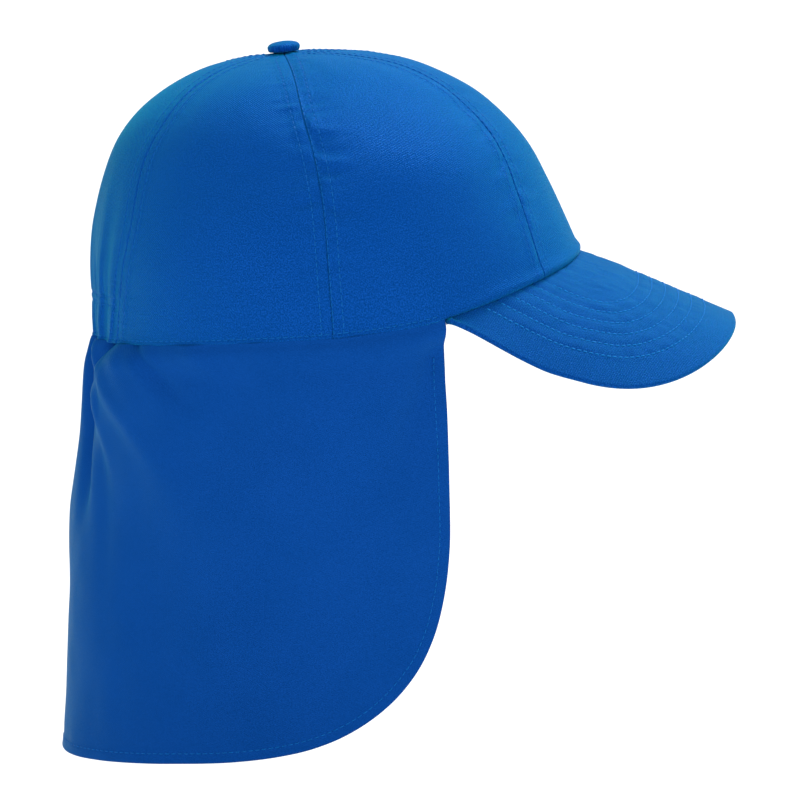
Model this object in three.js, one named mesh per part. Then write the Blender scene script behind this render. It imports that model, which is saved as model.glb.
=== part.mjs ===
// A legionnaire cap: a cotton sun cap with a stiff, stitched peak and a flap of cloth over the neck.
// Lengths are in millimetres, +Z is up, +X is the front and +Y the wearer's left. The origin is the
// middle of the head opening, and the cap has the form and the tilt that it has when it is worn.
// The crown and the peak are drawn square to the head opening, in a frame that is tilted as a whole.

import * as THREE from "three";

// Sizes of the head opening and the crown
const CROWN_LENGTH = 204.6;
const CROWN_WIDTH = 164;
const CROWN_HEIGHT = 99.8;
const CROWN_TILT = 9.8; // degrees that the front of the opening is raised
const TOP_SET_BACK = 4; // how far the top lies behind the middle of the opening
const RIM_DIP = 10; // how far the rim sinks below a flat opening, over the ears
const CLOTH = 1.2;
const SEAM_GAP = 0.3;
const RIM_GAP = 0.45; // from the rim down to the peak and the flap
const PANEL_PUFF = 0.8; // how far a panel swells between its seams
const GATHER_DEPTH = 1.8; // from the ridges of the gathered back to its furrows
const GATHER_COUNT = 6;

// Sizes of the button, which sits on a stem through the hole where the panels meet
const BUTTON_DIAMETER = 13.5;
const BUTTON_HEIGHT = 4.3;
const BUTTON_LEAN = 3.6; // degrees that it leans forward of the crown's own axis
const STEM_DIAMETER = 3.2;
const STEM_LENGTH = 3.6; // below the button's foot

// Sizes of the sweatband
const BAND_HEIGHT = 30;
const BAND_THICKNESS = 1.4;
const BAND_GAP = 0.4;

// Sizes of the peak
const PEAK_LENGTH = 70.8;
const PEAK_SLOPE = 23.7; // degrees below level, along its middle
const PEAK_ARCH = 38.1; // how far its corners curve down below its middle
const PEAK_THICKNESS = 2.4;
const PEAK_BOW = 1.1; // how far it bows upwards, most of all near the rim
const PEAK_SPREAD = 64.6; // degrees from the front to each corner

// Sizes of the neck flap
const FLAP_LENGTH = 174.3;
const FLAP_GAP = 0.9; // along the rim, from the peak's corner to the flap's front edge
const FLAP_FLARE = 14.8; // how far its foot stands out behind the rim
const FLAP_CLOSE = 12; // how far each side draws in towards its foot
const CORNER_HEIGHT = 94; // of the round front corners
const FOLD_DEPTH = 5;

// Rows from the rim of the crown to its top. Reaches are shares of half its length or width, and
// rises are shares of its height.
const CROWN_ROWS = table(
  ["frontReach", "frontRise", "sideReach", "sideRise", "backReach", "backRise"],
  [1.0, 0.0, 1.0, 0.0, 0.99, 0.0],
  [0.963, 0.154, 0.995, 0.148, 0.96, 0.162],
  [0.923, 0.307, 0.976, 0.293, 0.932, 0.323],
  [0.877, 0.458, 0.936, 0.437, 0.887, 0.48],
  [0.804, 0.596, 0.873, 0.575, 0.819, 0.628],
  [0.705, 0.717, 0.784, 0.703, 0.729, 0.762],
  [0.584, 0.815, 0.666, 0.813, 0.613, 0.87],
  [0.451, 0.896, 0.521, 0.902, 0.477, 0.947],
  [0.303, 0.947, 0.357, 0.961, 0.325, 0.994],
  [0.152, 0.979, 0.18, 0.992, 0.163, 1.009],
  [0.0, 1.0, 0.0, 1.0, 0.0, 1.0],
);

// How far the rim sinks, as a share of its deepest dip, at degrees from the front
const RIM_DIPS = table(
  ["angle", "share"],
  [0, 0],
  [20, 0.18],
  [40, 0.45],
  [55, 0.75],
  [70, 1.02],
  [90, 0.88],
  [112, 0.53],
  [130, 0.32],
  [150, 0.18],
  [180, 0],
);
const DIP_FADE = 0.4; // share of the crown's rise over which the dip fades out

// Folds of the flap. Across, 0 is the middle of the back, 1 the right front edge and -1 the left one.
// Each fold runs down from its head to its foot, and falls are shares of the flap's length. Depths
// are shares of the fold depth, and stand out where they are above 0.
const FLAP_FOLDS = table(
  ["head", "foot", "width", "depth", "from", "to"],
  [0.06, 0.3, 0.03, -1.0, -0.05, 0.5],
  [0.21, 0.16, 0.026, -0.7, -0.05, 0.14],
  [0.16, 0.58, 0.06, 0.7, 0.0, 0.52],
  [0.25, 0.52, 0.06, 0.5, 0.0, 0.3],
  [0.22, 0.4, 0.04, -0.5, 0.05, 0.35],
  [0.28, 0.5, 0.08, -0.5, 0.1, 0.9],
  [0.78, 0.84, 0.1, 0.7, -0.05, 0.8],
  [1.0, 0.8, 0.08, -0.6, -0.02, 0.6],
  [0.62, 0.56, 0.14, 0.5, 0.15, 1.0],
  [-0.06, -0.3, 0.035, -0.8, -0.05, 0.5],
  [-0.2, -0.24, 0.03, -0.6, -0.05, 0.2],
  [-0.17, -0.5, 0.06, 0.4, 0.0, 0.6],
  [-0.27, -0.48, 0.08, -0.5, 0.0, 0.85],
  [-0.78, -0.84, 0.1, 0.6, -0.05, 0.8],
  [-0.98, -0.78, 0.09, -0.5, 0.0, 0.7],
  [-0.6, -0.56, 0.16, 0.4, 0.15, 1.0],
  [0.0, 0.02, 0.06, -0.35, -0.05, 0.45],
);

// Where the seams lie, in degrees from the front, at levels from the rim to the top
const SEAMS = table(
  ["level", "front", "side", "back"],
  [0, 33.5, 91, 153],
  [0.15, 31, 89, 149],
  [0.3, 28.5, 87.2, 144.7],
  [0.45, 24.8, 86.6, 145.5],
  [0.6, 23, 87, 145],
  [0.8, 24.5, 87, 147.5],
  [1, 28, 90, 150],
);

// Panels of the crown in their order round it to the wearer's left, between two seams each. A turn
// of -1 is a seam on the right side, counted back from the front.
const PANELS = [
  { name: "crown_panel_front", from: "front", to: "front", turns: [-1, 1], columns: 8 },
  { name: "crown_panel_front_side_left", from: "front", to: "side", turns: [1, 1], columns: 7 },
  { name: "crown_panel_back_side_left", from: "side", to: "back", turns: [1, 1], columns: 7 },
  { name: "crown_panel_back", from: "back", to: "back", turns: [1, -1], columns: 4 * GATHER_COUNT },
  { name: "crown_panel_back_side_right", from: "back", to: "side", turns: [-1, -1], columns: 7 },
  { name: "crown_panel_front_side_right", from: "side", to: "front", turns: [-1, -1], columns: 7 },
];

// How finely the pieces are faceted
const CROWN_ROW_COUNT = 12;
const BAND_ROW_COUNT = 2;
const PEAK_COLUMNS = 20;
const PEAK_ROW_COUNT = 6;
const FLAP_COLUMNS = 72;
const FLAP_ROW_COUNT = 18;
const BUTTON_SIDES = 20;

// Shares that shape the cloth
const GATHER_REACH = 0.5; // share of the crown's rise that the gathers run up
const GATHER_FALL = 0.4; // share of the flap's length over which they fade out below the rim
const GATHER_EDGE = 0.2; // how soon the gathers deepen from the back panel's seams
const FLARE_BEND = 0.44; // under 1, so that the flap springs outwards just below the rim
const FLARE_FRONT = 0.45; // share of its flare by which the flap stands out in front
const CORNER_SHARE = 0.5; // of each half of the flap's width
const HEM_STRAIGHT = 0.36; // share of the columns that end on the straight part of the hem
const CORNER_POWER = 2.68; // squareness of the flap's round corners
const FOLD_START = 0.2; // share of a fold's run over which it deepens
const FOLD_END = 0.4; // share of its run from which it fades out
const ARCH_POWER = 2.45;
const BOW_RISE = 0.25; // share of the peak's length over which its bow rises
const PEAK_POWER = 3.5; // squareness of the peak's outline
const PEAK_BULGE = 0.088;
const CORNER_TURN = 88; // degrees round the peak's outline where it is cut off at the rim

// The button from the foot of its edge to its top: shares of its radius and height
const BUTTON_ROWS = table(
  ["across", "up"],
  [0.9, 0],
  [1, 0.18],
  [1, 0.5],
  [0.9, 0.78],
  [0.6, 0.95],
  [0, 1],
);
const SEAT_ACROSS = 2 / 3; // share of the button's width that rests on the crown
const SEAT_STEP = 15; // degrees round it between the places where that is measured

const STEP = 1e-3; // small step for slopes
const HALF_TURN = 180;
const FULL_TURN = 360;

const radians = THREE.MathUtils.degToRad;
const lerp = THREE.MathUtils.lerp;
const clamp = THREE.MathUtils.clamp;
const smooth = THREE.MathUtils.smoothstep;

const halfLength = CROWN_LENGTH / 2;
const halfWidth = CROWN_WIDTH / 2;
const meridian = CROWN_HEIGHT + halfLength / 2; // rough length of the cloth from the rim to the top

// Rows of numbers as objects with named columns
function table(names, ...rows) {
  return rows.map((row) => Object.fromEntries(names.map((name, i) => [name, row[i]])));
}

// A smooth curve through two columns of a table
function curveThrough(rows, across, up) {
  return new THREE.SplineCurve(rows.map((row) => new THREE.Vector2(row[across], row[up])));
}

const frontProfile = curveThrough(CROWN_ROWS, "frontReach", "frontRise");
const sideProfile = curveThrough(CROWN_ROWS, "sideReach", "sideRise");
const backProfile = curveThrough(CROWN_ROWS, "backReach", "backRise");

// A smooth curve through a table's column, at a place in its first column
function tableValue(rows, key, place, column) {
  const next = clamp(rows.findIndex((row) => row[key] > place), 1, rows.length - 1);
  const last = place >= rows.at(-1)[key] ? rows.length - 1 : next;
  const [low, high] = [rows[last - 1], rows[last]];
  const [before, after] = [rows[Math.max(last - 2, 0)], rows[Math.min(last + 1, rows.length - 1)]];
  const span = high[key] - low[key];
  const t = clamp((place - low[key]) / span, 0, 1);
  const slopeLow = ((high[column] - before[column]) / (high[key] - before[key])) * span;
  const slopeHigh = ((after[column] - low[column]) / (after[key] - low[key])) * span;
  const [t2, t3] = [t * t, t * t * t];
  return (
    (2 * t3 - 3 * t2 + 1) * low[column] +
    (t3 - 2 * t2 + t) * slopeLow +
    (3 * t2 - 2 * t3) * high[column] +
    (t3 - t2) * slopeHigh
  );
}

// Degrees from the front, from -180 to 180
function turned(angle) {
  return angle - FULL_TURN * Math.round(angle / FULL_TURN);
}

function rimDip(angle) {
  return RIM_DIP * tableValue(RIM_DIPS, "angle", Math.abs(turned(angle)), "share");
}

// The seams at the two ends of a panel at a level, in degrees that rise from the first to the second
function panelEnds(panel, level) {
  const first = panel.turns[0] * tableValue(SEAMS, "level", level, panel.from);
  const second = panel.turns[1] * tableValue(SEAMS, "level", level, panel.to);
  return [first, second > first ? second : second + FULL_TURN];
}

// The smooth crown without its panels: angle in degrees from the front, level from 0 at the rim to 1
function crownBase(angle, level) {
  const forward = Math.cos(radians(angle));
  const end = (forward > 0 ? frontProfile : backProfile).getPoint(level);
  const side = sideProfile.getPoint(level);
  const rise = lerp(side.y, end.y, forward * forward);
  const fade = Math.max(0, 1 - level / DIP_FADE) ** 2;
  return new THREE.Vector3(
    halfLength * end.x * forward - TOP_SET_BACK * level,
    halfWidth * side.x * Math.sin(radians(angle)),
    CROWN_HEIGHT * rise - rimDip(angle) * fade,
  );
}

// The unit normal of a surface, by small steps to each side
function normalOf(surface, u, v) {
  const inside = clamp(v, STEP, 1 - STEP);
  const along = surface(u + STEP, inside).sub(surface(u - STEP, inside));
  const up = surface(u, inside + STEP).sub(surface(u, inside - STEP));
  return along.cross(up).normalize();
}

// How far the cloth stands out of the smooth crown: panels swell, and the back is gathered
function crownSwell(angle, level) {
  const place = clamp(level, 0, 1);
  for (const panel of PANELS) {
    const [low, high] = panelEnds(panel, place);
    const across = ((((angle - low) % FULL_TURN) + FULL_TURN) % FULL_TURN) / (high - low);
    if (across > 1) continue;
    const puff = PANEL_PUFF * Math.sin(Math.PI * across) * Math.sin(Math.PI * place);
    return panel.name === "crown_panel_back" ? puff + gatherSwell(across, place) : puff;
  }
  return 0;
}

// Ridges and furrows of the back panel's foot
function gatherSwell(across, level) {
  const wave = Math.cos(2 * Math.PI * GATHER_COUNT * across);
  const hold = smooth(Math.sin(Math.PI * across), 0, GATHER_EDGE);
  return (-GATHER_DEPTH / 2) * wave * hold * (1 - smooth(level, 0, GATHER_REACH));
}

// The crown's cloth, depth inwards from its outer face
function crownCloth(angle, level, depth) {
  const normal = normalOf(crownBase, angle, level);
  return crownBase(angle, level).addScaledVector(normal, crownSwell(angle, level) - depth);
}

// The smooth crown, depth inwards, which the sweatband and the peak follow
function crownLining(angle, level, depth) {
  return crownBase(angle, level).addScaledVector(normalOf(crownBase, angle, level), -depth);
}

// Degrees round the crown that cover a length at a level
function degreesFor(length, angle, level) {
  const reach = crownBase(angle + STEP, level).sub(crownBase(angle, level)).length();
  return (STEP * length) / reach;
}

// A closed solid between an outer and an inner grid of points: point(i, j, side) is a point of
// column i and row j, on side 0 outside or 1 inside. A loop joins its last column to its first.
function slabGeometry(point, columns, rows, loop = false) {
  const wide = loop ? columns : columns + 1;
  const layer = wide * (rows + 1);
  const positions = [];
  for (const side of [0, 1])
    for (let j = 0; j <= rows; j++)
      for (let i = 0; i < wide; i++) positions.push(...point(i, j, side));
  const at = (i, j, side) => side * layer + j * wide + (i % wide);
  const faces = [];
  const quad = (a, b, c, d) => faces.push(a, b, c, a, c, d);
  for (let i = 0; i < columns; i++) {
    for (let j = 0; j < rows; j++) {
      quad(at(i, j, 0), at(i + 1, j, 0), at(i + 1, j + 1, 0), at(i, j + 1, 0));
      quad(at(i, j, 1), at(i, j + 1, 1), at(i + 1, j + 1, 1), at(i + 1, j, 1));
    }
    quad(at(i, 0, 0), at(i, 0, 1), at(i + 1, 0, 1), at(i + 1, 0, 0));
    quad(at(i, rows, 0), at(i + 1, rows, 0), at(i + 1, rows, 1), at(i, rows, 1));
  }
  for (let j = 0; j < rows && !loop; j++) {
    quad(at(0, j, 0), at(0, j + 1, 0), at(0, j + 1, 1), at(0, j, 1));
    quad(at(columns, j, 0), at(columns, j, 1), at(columns, j + 1, 1), at(columns, j + 1, 0));
  }
  const geometry = new THREE.BufferGeometry();
  geometry.setAttribute("position", new THREE.Float32BufferAttribute(positions, 3));
  geometry.setIndex(faces);
  geometry.computeVertexNormals();
  return geometry;
}

function cottonMaterial(color) {
  return new THREE.MeshStandardMaterial({ color, roughness: 0.8, metalness: 0 });
}

const drill = cottonMaterial(0x1560b4);
const flapDrill = cottonMaterial(0x0f4fa3);
const bandCotton = cottonMaterial(0x1b4c93);

function namedMesh(name, geometry, material) {
  const mesh = new THREE.Mesh(geometry, material);
  mesh.name = name;
  return mesh;
}

// The panels end at a hole for the button's stem
const topLevel = 1 - (STEM_DIAMETER + 2 * SEAM_GAP) / CROWN_LENGTH;

// The angle of a panel's column, held back from its seams by half a gap
function panelAngle(panel, column, level, gap) {
  const [first, second] = panelEnds(panel, level);
  const low = first + degreesFor(gap / 2, first, level);
  const high = second - degreesFor(gap / 2, second, level);
  return lerp(low, high, column / panel.columns);
}

function crownPanel(panel) {
  const point = (i, j, side) => {
    const level = (topLevel * j) / CROWN_ROW_COUNT;
    return crownCloth(panelAngle(panel, i, level, SEAM_GAP), level, side * CLOTH);
  };
  const geometry = slabGeometry(point, panel.columns, CROWN_ROW_COUNT);
  return namedMesh(panel.name, geometry, drill);
}

// One loop inside the rim, with its corners at the same angles as those of the panels
function sweatband() {
  const places = PANELS.flatMap((panel) =>
    Array.from({ length: panel.columns }, (_, column) => ({ panel, column })),
  );
  const top = BAND_HEIGHT / meridian;
  const outside = CLOTH + BAND_GAP + GATHER_DEPTH / 2;
  const point = (i, j, side) => {
    const level = (top * j) / BAND_ROW_COUNT;
    const angle = panelAngle(places[i].panel, places[i].column, level, 0);
    return crownLining(angle, level, outside + side * BAND_THICKNESS);
  };
  const geometry = slabGeometry(point, places.length, BAND_ROW_COUNT, true);
  return namedMesh("sweatband", geometry, bandCotton);
}

// A low round button with a stem that passes through the crown
function button() {
  const radius = BUTTON_DIAMETER / 2;
  const stem = STEM_DIAMETER / 2;
  const profile = [
    new THREE.Vector2(0, -STEM_LENGTH),
    new THREE.Vector2(stem, -STEM_LENGTH),
    new THREE.Vector2(stem, 0),
    ...BUTTON_ROWS.map(({ across, up }) => new THREE.Vector2(across * radius, up * BUTTON_HEIGHT)),
  ];
  const geometry = new THREE.LatheGeometry(profile, BUTTON_SIDES);
  geometry.rotateX(Math.PI / 2);
  const mesh = namedMesh("crown_button", geometry, drill);
  mesh.rotation.y = radians(BUTTON_LEAN);
  const axis = new THREE.Vector3(0, 0, 1).applyEuler(mesh.rotation);
  mesh.position.copy(crownBase(0, 1)).addScaledVector(axis, seatHeight(axis) + SEAM_GAP);
  return mesh;
}

// How far the cloth under the button stands above a plane through the crown's top
function seatHeight(axis) {
  const edgeLevel = 1 - (SEAT_ACROSS * BUTTON_DIAMETER) / CROWN_LENGTH;
  const heights = [];
  for (const level of [topLevel, edgeLevel])
    for (let angle = 0; angle < FULL_TURN; angle += SEAT_STEP)
      heights.push(crownCloth(angle, level, 0).sub(crownBase(0, 1)).dot(axis));
  return Math.max(...heights);
}

const slope = radians(PEAK_SLOPE + CROWN_TILT);
const cornerAcross = halfWidth * Math.sin(radians(PEAK_SPREAD));
const arch = (across) => PEAK_ARCH * Math.abs(across / cornerAcross) ** ARCH_POWER;

// A point of the arched peak: along from the front of the rim, and across
function peakLift(along, across) {
  const out = along / PEAK_LENGTH;
  const drop = arch(across) - PEAK_BOW * smooth(out, 0, BOW_RISE) * (1 - out);
  return new THREE.Vector3(
    halfLength + Math.cos(slope) * along - Math.sin(slope) * drop,
    across,
    -Math.sin(slope) * along - Math.cos(slope) * drop,
  );
}

// How far along the peak a point of the rim lies
function alongOf(point) {
  return (point.x - halfLength + Math.sin(slope) * arch(point.y)) / Math.cos(slope);
}

// The top of the peak: share across from the right corner to the left, and in from its outer edge
function peakTop(share, inward) {
  const rim = crownLining((2 * share - 1) * PEAK_SPREAD, 0, CLOTH);
  rim.z -= RIM_GAP;
  const corner = crownBase(PEAK_SPREAD, 0);
  const back = alongOf(corner);
  const turn = radians((2 * share - 1) * CORNER_TURN);
  const [ahead, aside] = [Math.abs(Math.cos(turn)), Math.abs(Math.sin(turn))];
  const reach = (ahead ** PEAK_POWER + aside ** PEAK_POWER) ** (-1 / PEAK_POWER);
  const bulge = 1 + PEAK_BULGE * Math.sin(2 * Math.abs(turn));
  const edgeAlong = back + (PEAK_LENGTH - back) * reach * ahead;
  const edgeAcross = cornerAcross * reach * bulge * Math.sin(turn);
  const rimAlong = alongOf(rim);
  const point = peakLift(lerp(edgeAlong, rimAlong, inward), lerp(edgeAcross, rim.y, inward));
  const miss = rim.sub(peakLift(rimAlong, rim.y));
  return point.addScaledVector(miss, inward);
}

// A stiff board in cloth, tucked under the front of the rim
function peak() {
  const point = (i, j, side) => {
    const [share, inward] = [i / PEAK_COLUMNS, j / PEAK_ROW_COUNT];
    const normal = normalOf(peakTop, clamp(share, STEP, 1 - STEP), inward);
    return peakTop(share, inward).addScaledVector(normal, -side * PEAK_THICKNESS);
  };
  return namedMesh("peak", slabGeometry(point, PEAK_COLUMNS, PEAK_ROW_COUNT), drill);
}

// A point of the crown's frame in the cap's own frame
function tilted(point) {
  return point.applyAxisAngle(new THREE.Vector3(0, 1, 0), -radians(CROWN_TILT));
}

// How far the flap's folds stand out, at a share across and a fall
function foldSwell(across, fall) {
  return FLAP_FOLDS.reduce((swell, { head, foot, width, depth, from, to }) => {
    const down = clamp((fall - from) / (to - from), 0, 1);
    const offset = (across - lerp(head, foot, down)) / (width * (1 + down));
    const fade = smooth(down, 0, FOLD_START) * (1 - smooth(down, FOLD_END, 1));
    return swell + FOLD_DEPTH * depth * fade * Math.exp(-offset * offset);
  }, 0);
}

const flapStart = PEAK_SPREAD + degreesFor(FLAP_GAP, PEAK_SPREAD, 0);
const flapAngle = (across) => HALF_TURN + across * (HALF_TURN - flapStart);

// The flap at a share across, from -1 at its left front edge to 1 at the right one, and at a fall,
// from 0 at the rim to 1 at its foot
function flapDrape(across, fall) {
  const angle = flapAngle(across);
  const ripple = crownSwell(angle, 0) * (1 - smooth(fall, 0, GATHER_FALL));
  const hang = tilted(crownLining(angle, 0, -ripple));
  const spring = Math.max(fall, 0) ** FLARE_BEND;
  const forward = Math.cos(radians(angle));
  const flare = (forward < 0 ? 1 : FLARE_FRONT) * FLAP_FLARE * forward;
  hang.x += spring * flare;
  hang.y -= fall * FLAP_CLOSE * Math.sin(radians(angle));
  hang.z -= fall * FLAP_LENGTH + RIM_GAP;
  const out = new THREE.Vector3(forward, Math.sin(radians(angle)), 0);
  return hang.addScaledVector(out, foldSwell(across, fall));
}

// Where a column of the flap ends: across and fall of the hem, round its front corners
function hemPoint(share) {
  const side = Math.sign(share);
  const along = Math.abs(share);
  const straight = 1 - CORNER_SHARE;
  if (along <= HEM_STRAIGHT) return { across: (side * straight * along) / HEM_STRAIGHT, fall: 1 };
  const turn = ((along - HEM_STRAIGHT) / (1 - HEM_STRAIGHT)) * (Math.PI / 2);
  const [rise, run] = [Math.cos(turn), Math.sin(turn)];
  const reach = (rise ** CORNER_POWER + run ** CORNER_POWER) ** (-1 / CORNER_POWER);
  const corner = CORNER_HEIGHT / FLAP_LENGTH;
  return {
    across: side * (straight + CORNER_SHARE * reach * run),
    fall: 1 - corner + corner * reach * rise,
  };
}

// One sheet from the rim to the hem, round the back from one end of the peak to the other
function neckFlap() {
  const point = (i, j, side) => {
    const share = (2 * i) / FLAP_COLUMNS - 1;
    const down = 1 - j / FLAP_ROW_COUNT;
    const hem = hemPoint(share);
    const across = lerp(share, hem.across, down);
    const fall = lerp(0, hem.fall, down);
    const surface = (u, v) => flapDrape(u, 1 - v);
    const normal = normalOf(surface, across, 1 - fall);
    if (down === 0) normal.setZ(0).normalize();
    return flapDrape(across, fall).addScaledVector(normal, -side * CLOTH);
  };
  return namedMesh("neck_flap", slabGeometry(point, FLAP_COLUMNS, FLAP_ROW_COUNT), flapDrill);
}

const crown = new THREE.Group();
crown.rotation.y = -radians(CROWN_TILT);
crown.add(...PANELS.map(crownPanel), sweatband(), button(), peak());

const cap = new THREE.Group();
cap.add(crown, neckFlap());

export default cap;
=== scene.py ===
# The looks of a legionnaire cap in blue cotton drill: panels, button, peak, sweatband and neck flap.
# Lengths are in millimetres in the part's own frame, and are turned into metres when a mesh is made.
# The named sizes and tables down to the folds of the flap are those of the solids.

import math

import bpy
import numpy as np
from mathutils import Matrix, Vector


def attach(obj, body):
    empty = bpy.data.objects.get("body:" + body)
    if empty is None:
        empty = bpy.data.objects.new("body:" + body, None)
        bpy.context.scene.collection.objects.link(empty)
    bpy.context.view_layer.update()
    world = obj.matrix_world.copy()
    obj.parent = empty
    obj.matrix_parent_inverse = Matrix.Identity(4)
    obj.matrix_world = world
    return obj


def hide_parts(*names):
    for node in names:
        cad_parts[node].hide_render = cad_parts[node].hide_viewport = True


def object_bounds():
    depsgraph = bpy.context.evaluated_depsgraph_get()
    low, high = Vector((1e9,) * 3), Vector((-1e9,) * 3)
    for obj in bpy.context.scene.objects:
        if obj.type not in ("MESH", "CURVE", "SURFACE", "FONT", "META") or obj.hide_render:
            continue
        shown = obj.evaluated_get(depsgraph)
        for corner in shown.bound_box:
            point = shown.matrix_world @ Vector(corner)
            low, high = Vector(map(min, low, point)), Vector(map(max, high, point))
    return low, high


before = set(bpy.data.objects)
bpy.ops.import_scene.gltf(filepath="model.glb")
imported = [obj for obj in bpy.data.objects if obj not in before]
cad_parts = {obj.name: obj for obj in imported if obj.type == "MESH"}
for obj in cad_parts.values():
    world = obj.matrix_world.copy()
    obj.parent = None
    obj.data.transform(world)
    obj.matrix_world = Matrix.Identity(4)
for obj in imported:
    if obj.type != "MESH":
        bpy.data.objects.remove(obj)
cad_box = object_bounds()

MM = 0.001

# The camera that matches the photograph, and the floor
CAMERA_PLACE = (26.0, -2300.0, 301.0)
CAMERA_AIM = (26.6, 0.0, -46.4)
VIEW_WIDTH = 332.0  # of what the picture spans at the distance of the aim
SENSOR_WIDTH = 36.0
FLOOR_DROP = 45.0  # from the hem of the flap down to the floor
FLOOR_SIZE = 14000.0

# Sizes of the solids
CROWN_LENGTH = 204.6
CROWN_WIDTH = 164.0
CROWN_HEIGHT = 99.8
CROWN_TILT = 9.8
TOP_SET_BACK = 4.0
RIM_DIP = 10.0
CLOTH = 1.2
SEAM_GAP = 0.3
RIM_GAP = 0.45
PANEL_PUFF = 0.8
GATHER_DEPTH = 1.8
GATHER_COUNT = 6
BUTTON_DIAMETER = 13.5
BUTTON_HEIGHT = 4.3
BUTTON_LEAN = 3.6
STEM_DIAMETER = 3.2
BAND_HEIGHT = 30.0
BAND_THICKNESS = 1.4
BAND_GAP = 0.4
PEAK_LENGTH = 70.8
PEAK_SLOPE = 23.7
PEAK_ARCH = 38.1
PEAK_THICKNESS = 2.4
PEAK_BOW = 1.1
PEAK_SPREAD = 64.6
FLAP_LENGTH = 174.3
FLAP_GAP = 0.9
FLAP_FLARE = 14.8
FLAP_CLOSE = 12.0
CORNER_HEIGHT = 94
FOLD_DEPTH = 5.0

# Rows from the rim of the crown to its top. Reaches are shares of half its length or width, and
# rises are shares of its height.
CROWN_ROWS = {
    "level": (0, 0.1, 0.2, 0.3, 0.4, 0.5, 0.6, 0.7, 0.8, 0.9, 1),
    "front_reach": (1, 0.963, 0.923, 0.877, 0.804, 0.705, 0.584, 0.451, 0.303, 0.152, 0),
    "front_rise": (0, 0.154, 0.307, 0.458, 0.596, 0.717, 0.815, 0.896, 0.947, 0.979, 1),
    "side_reach": (1, 0.995, 0.976, 0.936, 0.873, 0.784, 0.666, 0.521, 0.357, 0.18, 0),
    "side_rise": (0, 0.148, 0.293, 0.437, 0.575, 0.703, 0.813, 0.902, 0.961, 0.992, 1),
    "back_reach": (0.99, 0.96, 0.932, 0.887, 0.819, 0.729, 0.613, 0.477, 0.325, 0.163, 0),
    "back_rise": (0, 0.162, 0.323, 0.48, 0.628, 0.762, 0.87, 0.947, 0.994, 1.009, 1),
}
RIM_DIPS = {
    "angle": (0, 20, 40, 55, 70, 90, 112, 130, 150, 180),
    "share": (0, 0.18, 0.45, 0.75, 1.02, 0.88, 0.53, 0.32, 0.18, 0),
}
DIP_FADE = 0.4
SEAMS = {
    "level": (0, 0.15, 0.3, 0.45, 0.6, 0.8, 1),
    "front": (33.5, 31, 28.5, 24.8, 23, 24.5, 28),
    "side": (91, 89, 87.2, 86.6, 87, 87, 90),
    "back": (153, 149, 144.7, 145.5, 145, 147.5, 150),
}
PANELS = (
    {"name": "crown_panel_front", "ends": ("front", "front"), "turns": (-1, 1)},
    {"name": "crown_panel_front_side_left", "ends": ("front", "side"), "turns": (1, 1)},
    {"name": "crown_panel_back_side_left", "ends": ("side", "back"), "turns": (1, 1)},
    {"name": "crown_panel_back", "ends": ("back", "back"), "turns": (1, -1)},
    {"name": "crown_panel_back_side_right", "ends": ("back", "side"), "turns": (-1, -1)},
    {"name": "crown_panel_front_side_right", "ends": ("side", "front"), "turns": (-1, -1)},
)
BACK_PANEL = PANELS[3]

# Folds of the flap. Across, 0 is the middle of the back and 1 the right front edge. Each runs down
# from its head to its foot, and its depth is a share of the fold depth.
FOLD_COLUMNS = ("head", "foot", "width", "depth", "start", "end")
FLAP_FOLDS = (
    (0.06, 0.3, 0.03, -1.0, -0.05, 0.5),
    (0.21, 0.16, 0.026, -0.7, -0.05, 0.14),
    (0.16, 0.58, 0.06, 0.7, 0.0, 0.52),
    (0.25, 0.52, 0.06, 0.5, 0.0, 0.3),
    (0.22, 0.4, 0.04, -0.5, 0.05, 0.35),
    (0.28, 0.5, 0.08, -0.5, 0.1, 0.9),
    (0.78, 0.84, 0.1, 0.7, -0.05, 0.8),
    (1.0, 0.8, 0.08, -0.6, -0.02, 0.6),
    (0.62, 0.56, 0.14, 0.5, 0.15, 1.0),
    (-0.06, -0.3, 0.035, -0.8, -0.05, 0.5),
    (-0.2, -0.24, 0.03, -0.6, -0.05, 0.2),
    (-0.17, -0.5, 0.06, 0.4, 0.0, 0.6),
    (-0.27, -0.48, 0.08, -0.5, 0.0, 0.85),
    (-0.78, -0.84, 0.1, 0.6, -0.05, 0.8),
    (-0.98, -0.78, 0.09, -0.5, 0.0, 0.7),
    (-0.6, -0.56, 0.16, 0.4, 0.15, 1.0),
    (0.0, 0.02, 0.06, -0.35, -0.05, 0.45),
)
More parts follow.
